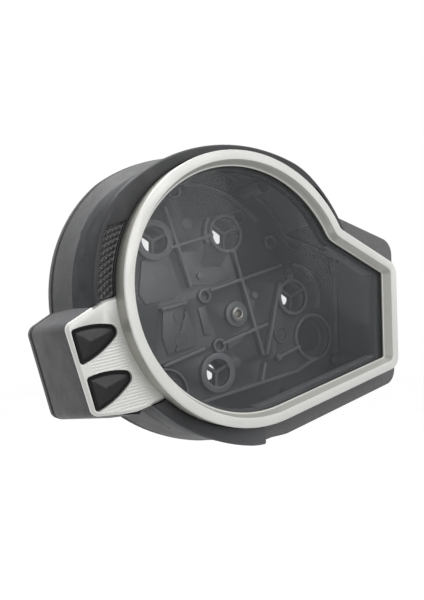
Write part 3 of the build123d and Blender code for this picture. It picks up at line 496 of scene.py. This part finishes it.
def grid(step_x, step_y):
    """Points of a staggered grid."""
    def points(low, high):
        rows = int((high[1] - low[1]) / step_y)
        for row in range(rows + 1):
            x = low[0] + (step_x / 2 if row % 2 else 0.0)
            while x < high[0]:
                yield (x, low[1] + row * step_y)
                x += step_x
    return points


# ---------------------------------------------------------------- housing

# Widths of the groove by the seam and of the shoulder's edge, and the depth where the inside begins
SEAM_GROOVE = 0.85
SHOULDER_EDGE = 1.5
INSIDE_FROM = 12.4
# Radii that the drum's wall and the whole shell stay within
WALL_REACH = 77.2
SHELL_REACH = 78.0
REAR_INSIDE_REACH = 75.0
# The wing: its sector in degrees, and the radius it begins at
WING_SECTOR = (-80.0, 21.0)
WING_FROM_RADIUS = 66.5
# Where the painted shade begins on the rim's inner and outer walls, and where the inner wall ends
INNER_WALL = (0.3, 6.0)
OUTER_WALL_FROM = 0.8

CASE_MATERIALS = [case_grain, case_wall, inside_plastic, case_shoulder_lit, seam_shadow_paint, case_wing_lit]
GRAIN, WALL, INSIDE, SHOULDER_LIT_SKIN, SEAM_SHADOW_SKIN, WING_LIT_SKIN = range(len(CASE_MATERIALS))

front = refined("front_case", CASE_MATERIALS, "black_plastic", width=0.4)


def case_region(x, y, depth, normal):
    """The drum's wall and shoulder are smoother than the skirt, the arm and the wing; the wall's darker grey
    is partly painted shade, the forward faces of the shoulder and the wing get lighter greys as painted
    light, and the seam's groove is painted near black as painted shadow.
    """
    radius = hypot(x, y)
    outward = (normal.x * x + normal.z * y) / radius
    faces_in = outward < 0.2 and radius < SHELL_REACH or normal.y > 0.5
    if depth > INSIDE_FROM and normal.y > -0.5 and faces_in:
        return INSIDE
    # The seam's groove is painted near black: painted shadow in the gap between the cases
    if depth > SEAM - SEAM_GROOVE:
        return SEAM_SHADOW_SKIN
    # Forward faces of the drum's shoulder get a lighter grey than the wall: painted light
    if depth < SHOULDER + SHOULDER_EDGE and normal.y < -0.3 and radius < WALL_REACH:
        return SHOULDER_LIT_SKIN
    in_wing = WING_SECTOR[0] < degrees(atan2(y, x)) < WING_SECTOR[1] and radius > WING_FROM_RADIUS
    # The wing's forward faces get a lighter copy of the skirt's plastic: painted light
    if in_wing and normal.y < -0.5:
        return WING_LIT_SKIN
    beyond_wall = depth > CREASE + 0.2 or radius > WALL_REACH
    return GRAIN if in_wing or beyond_wall else WALL


def rear_region(x, y, depth, normal):
    """The rear case is grained outside and smooth within."""
    outside = normal.y > -0.5 or hypot(x, y) > REAR_INSIDE_REACH
    return 1 if depth > FLOOR + 0.4 and outside else 0


paint(front, case_region)
rear = refined("rear_case", [inside_plastic, case_grain], "black_plastic", width=0.25)
paint(rear, rear_region)

bezel = refined("bezel", [silver, silver_wall_shaded, silver_side_shaded], "silver_paint", width=0.3)


def bezel_region(x, y, depth, normal):
    """The rim's inner and outer walls get darker copies of the silver paint as painted shade; its face and
    the button plate keep the plain paint.
    """
    outward = (normal.x * x + normal.z * y) / hypot(x, y)
    if INNER_WALL[0] < depth < INNER_WALL[1] and outward < 0 and normal.y > -0.9:
        return 1
    return 2 if OUTER_WALL_FROM < depth < PLATE_FRONT + 0.1 and outward > 0.4 else 0


paint(bezel, bezel_region)

# Fine lines of the button plate, which stop short of its outer edge
LINE_PITCH = 1.35
LINE_DEPTH = 0.15
PLATE_EDGE = [(-86.4, -19.8), (-73.6, -57.0)]
PLATE_RIGHT = -45.0
SMOOTH_STRIP = 5.6
STRIP_FADE = 0.4
BORDER_FADE = 0.8
# The net that carries them: rows to a line, rows beyond the plate in millimetres, and step along a row
ROWS_PER_LINE = 6
ROWS_BEYOND = 4
POINT_STEP = 1.6


def line_wave(x):
    """Rise and sway of the plate's lines."""
    return 0.25 * sin(x / 5.0) + 0.20 * x


def plate_points(low, high):
    """Rows of points that follow the lines."""
    rows = int((high[1] - low[1] + 2 * ROWS_BEYOND) / (LINE_PITCH / ROWS_PER_LINE))
    for row in range(rows):
        x = low[0] + (POINT_STEP / 2 if row % 2 else 0.0)
        while x < high[0]:
            yield (x, low[1] - ROWS_BEYOND + row * LINE_PITCH / ROWS_PER_LINE + line_wave(x))
            x += POINT_STEP


def plate_line(x, y, gap):
    """Depth of the fine lines, which leave a smooth strip along the plate's outer edge."""
    fade = min(1.0, gap / BORDER_FADE)
    strip = gap_to([PLATE_EDGE], x, y)[0] - SMOOTH_STRIP
    wave = 0.5 - 0.5 * cos(2 * pi * (y - line_wave(x)) / LINE_PITCH)
    return LINE_DEPTH * wave * fade * min(1.0, max(0.0, strip / STRIP_FADE))


net_over(bezel, PLATE_FRONT, lambda x, y: x < PLATE_RIGHT, plate_points, plate_line)

# ---------------------------------------------------------------- knurled panels

DIAMOND = 3.1
KNURL_RADIUS = 69.0
GROOVE = 0.6
PILLOW = 0.6


def knurl(x, y, gap):
    """Pillows between two sets of crossing grooves."""
    along = hypot(x, y)
    around = atan2(y, x) * KNURL_RADIUS
    first = abs(sin(pi * (along + around) / DIAMOND))
    second = abs(sin(pi * (along - around) / DIAMOND))
    return GROOVE * (1 - (first * second) ** PILLOW)


for name in ("left_knurled_panel", "right_knurled_panel"):
    panel = refined(name, knurl_plastic, "button_plastic", "housing", 0.1)
    net_over(panel, PANEL_FRONT, lambda x, y: True, grid(0.28, 0.26), knurl)

# ---------------------------------------------------------------- buttons

DOME_SLOPE = 0.24


def dome(x, y, gap):
    """Hipped roof over the button."""
    return -DOME_SLOPE * gap


for name in ("upper_button", "lower_button"):
    button = refined(name, button_plastic, "button_plastic", name, 0.3)
    net_over(button, BUTTON_TOP, lambda x, y: True, grid(0.55, 0.5), dome, 0.3)

# ---------------------------------------------------------------- small pieces

for name, material, slot_name, width in (
    ("case_gasket", rubber_black, "rubber", 0.1),
    ("lens_gasket", foam_black, "rubber", 0.1),
    ("stay_insert", turned_brass, "brass", 0.2),
    ("harness_plug", rubber_black, "rubber", 0.3),
    ("breather_cap", rubber_black, "rubber", 0.3),
    ("case_screws", zinc_steel, "steel", 0.15),
    ("guide_screws", zinc_steel, "steel", 0.15),
    ("button_guide", inside_plastic, "black_plastic", 0.2),
    ("lens", lens_clear, "clear_lens", 0.2),
):
    refined(name, material, slot_name, "housing", width)

for name in ("upper_button", "lower_button"):
    boot = refined(name + "_boot", rubber_black, "rubber", "housing", 0.2)
    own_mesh(boot)

# ---------------------------------------------------------------- pads and marks on the case's floor

# Outlines in millimetres from the window's centre, and heights
PADS = [
    ([(-8, 24), (2, 26.5), (5.5, 16.5), (10, 17.6), (17.8, 18.2), (22.6, 16), (24.4, 11.4), (12, 6.6),
      (-1.6, 5.8)], 0.9),
    ([(-18.7, -6.6), (-5.5, -5.2), (-6.5, -12), (-11.5, -31), (-15.4, -32.6), (-19, -22.5)], 0.8),
    ([(-4.2, -6.6), (-2, -12), (2, -22.9), (1, -27.5), (-9.8, -30.6), (-11, -30)], 0.8),
    ([(-31.5, 17.5), (-15.5, 22.2), (-7, 3.4), (-11.4, -1.4), (-28.7, -6), (-33, -0.5)], 1.0),
    ([(31.4, 11.2), (37.6, 5.8), (41.6, -0.8), (38.4, -11), (34.6, -1.5)], 1.2),
    ([(2.4, -5.6), (7.6, -4.6), (11.4, -20.6), (7.2, -21.6)], 1.2),
    ([(21.4, -24.2), (34.0, -19.6), (31.2, -24.4), (22.6, -29.2)], 1.4),
]
# Centres and inner radii
RINGS = [
    (2.0, 10.9, 3.4), (-7.0, -24.0, 3.6), (-8.4, -11.0, 3.2), (-19.2, 12.0, 4.6), (70.5, 38.6, 6.0),
    (30.6, 61.0, 5.4), (66.7, 17.0, 2.4), (60.0, -20.0, 4.2), (30.0, 48.0, 3.4), (-44.0, -8.0, 4.0),
]
DISHES = [(-16.6, -52.2, 12.0)]
BEDDING = 0.2
PAD_DRAFT = 0.4
RING_WIDE, RING_TALL = 0.7, 1.1
DISH_WIDE, DISH_TALL = 1.2, 2.4


def prism(bm, outline, low, high, draft):
    """Closed block between two depths, its front face smaller by draft."""
    mid_x = sum(p[0] for p in outline) / len(outline)
    mid_y = sum(p[1] for p in outline) / len(outline)
    back = [bm.verts.new(place(x, y, low)) for x, y in outline]
    ahead = []
    for x, y in outline:
        scale = 1 - draft / hypot(x - mid_x, y - mid_y)
        ahead.append(bm.verts.new(place(mid_x + (x - mid_x) * scale, mid_y + (y - mid_y) * scale, high)))
    bm.faces.new(ahead)
    bm.faces.new(back[::-1])
    for i in range(len(outline)):
        j = (i + 1) % len(outline)
        bm.faces.new((ahead[i], back[i], back[j], ahead[j]))


def ring_wall(bm, x, y, radius, wide, low, high, steps=40):
    """Closed ring standing on the floor."""
    profile = [(radius, low), (radius, high), (radius + wide, high), (radius + wide, low)]
    rows = []
    for step in range(steps):
        turn = 2 * pi * step / steps
        rows.append([bm.verts.new(place(x + r * cos(turn), y + r * sin(turn), d)) for r, d in profile])
    for step in range(steps):
        here, there = rows[step], rows[(step + 1) % steps]
        for k in range(4):
            bm.faces.new((here[k], there[k], there[(k + 1) % 4], here[(k + 1) % 4]))


def floor_details():
    """Raised pads and embossed rings, bedded in the floor."""
    bm = bmesh.new()
    for outline, tall in PADS:
        prism(bm, outline, FLOOR + BEDDING, FLOOR - tall, PAD_DRAFT)
    for x, y, radius in RINGS:
        ring_wall(bm, x, y, radius, RING_WIDE, FLOOR + BEDDING, FLOOR - RING_TALL)
    for x, y, radius in DISHES:
        ring_wall(bm, x, y, radius, DISH_WIDE, FLOOR + BEDDING, FLOOR - DISH_TALL, 72)
    bmesh.ops.recalc_face_normals(bm, faces=bm.faces)
    mesh = bpy.data.meshes.new("floor_details")
    bm.to_mesh(mesh)
    bm.free()
    piece = new_piece("floor_details", mesh, [inside_plastic], "housing", "black_plastic")
    bevelled(piece, 0.25)


floor_details()

# ---------------------------------------------------------------- stage

FRONT_SKY = 0.48
BACK_SKY = 1.0
FLOOR_GLOW = 0.45
FLOOR_SIZE = 14
FLOOR_DROP = 0.3
# Painted light on the floor: grey near the front and brighter than white behind
FLOOR_NEAR = [(0.3, (0.40, 0.40, 0.40)), (0.7, (0.42, 0.42, 0.42))]
FLOOR_BEHIND = [(0.0, WHITE), (1.0, (1.8, 1.8, 1.8))]
FOCAL = 36.0
EYE = (-0.1880, -0.2967, -0.0214)
AIM = Vector((0, -0.03, 0))


def studio():
    """White sweep behind the object and a dimmer room on the rider's side of it. The floor carries painted
    light: grey near the front, brighter than white behind, and a glow of its own behind the object.
    """
    world = bpy.data.worlds.new("studio")
    bpy.context.scene.world = world
    world.use_nodes = True
    nodes = world.node_tree.nodes
    links = world.node_tree.links
    coords = nodes.new("ShaderNodeTexCoord")
    split = nodes.new("ShaderNodeSeparateXYZ")
    grade = nodes.new("ShaderNodeMapRange")
    for name, value in zip(("From Min", "From Max", "To Min", "To Max"), (-0.1, 0.35, FRONT_SKY, BACK_SKY)):
        grade.inputs[name].default_value = value
    grade.interpolation_type = "SMOOTHSTEP"
    links.new(coords.outputs["Generated"], split.inputs["Vector"])
    links.new(split.outputs["Y"], grade.inputs["Value"])
    background = nodes["Background"]
    background.inputs["Color"].default_value = (1, 1, 1, 1)
    links.new(grade.outputs["Result"], background.inputs["Strength"])
    bpy.ops.mesh.primitive_plane_add(size=FLOOR_SIZE, location=(0, 0, cad_box[0][2] - FLOOR_DROP))
    floor = bpy.context.object
    floor.name = "floor"
    s = Shader("floor_white", (0.9, 0.9, 0.9), 0.9)
    away = s.nodes.new("ShaderNodeSeparateXYZ")
    s.links.new(s.coords, away.inputs["Vector"])
    near_grey = s.ramp(s.noise(3.0), FLOOR_NEAR)
    far_white = s.ramp(s.grade(away.outputs["Y"], 0.0, 1.0, -0.15, 0.25), FLOOR_BEHIND)
    s.colour_from(s.mixed(near_grey, far_white))
    s.bsdf.inputs["Emission Color"].default_value = (1, 1, 1, 1)
    s.links.new(s.grade(away.outputs["Y"], 0.0, FLOOR_GLOW, -0.1, 0.4), s.bsdf.inputs["Emission Strength"])
    floor.data.materials.append(s.material)
    floor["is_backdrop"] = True


def area_light(name, at, size, power):
    """Round soft light that faces the object."""
    data = bpy.data.lights.new(name, "AREA")
    data.shape = "DISK"
    data.size = size
    data.energy = power
    light = bpy.data.objects.new(name, data)
    light.location = at
    light.rotation_euler = (AIM - Vector(at)).to_track_quat("-Z", "Y").to_euler()
    bpy.context.scene.collection.objects.link(light)


def camera():
    """Camera at the rider's lower left, at the photograph's viewing angle."""
    right = Vector((0.8567, -0.5158, 0.0))
    up = Vector((-0.0442, -0.0733, 0.9963))
    back = Vector((-0.5139, -0.8535, -0.0856))
    data = bpy.data.cameras.new("camera")
    data.lens = FOCAL
    data.sensor_width = FOCAL
    data.clip_start = 0.01
    eye = bpy.data.objects.new("camera", data)
    turn = Matrix((right, up, back)).transposed().to_4x4()
    eye.matrix_world = Matrix.Translation(EYE) @ turn
    bpy.context.scene.collection.objects.link(eye)
    bpy.context.scene.camera = eye


studio()
area_light("top", (-0.30, 0.22, 0.85), 0.35, 9.0)
area_light("front", (0.05, -0.95, 0.42), 0.9, 5.4)
area_light("side", (0.85, -0.45, 0.30), 0.5, 1.0)
camera()
bpy.context.scene.view_settings.view_transform = "Standard"

boxes = {"cad": cad_box, "visual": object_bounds()}
{k: [list(corner) for corner in v] for k, v in boxes.items()}
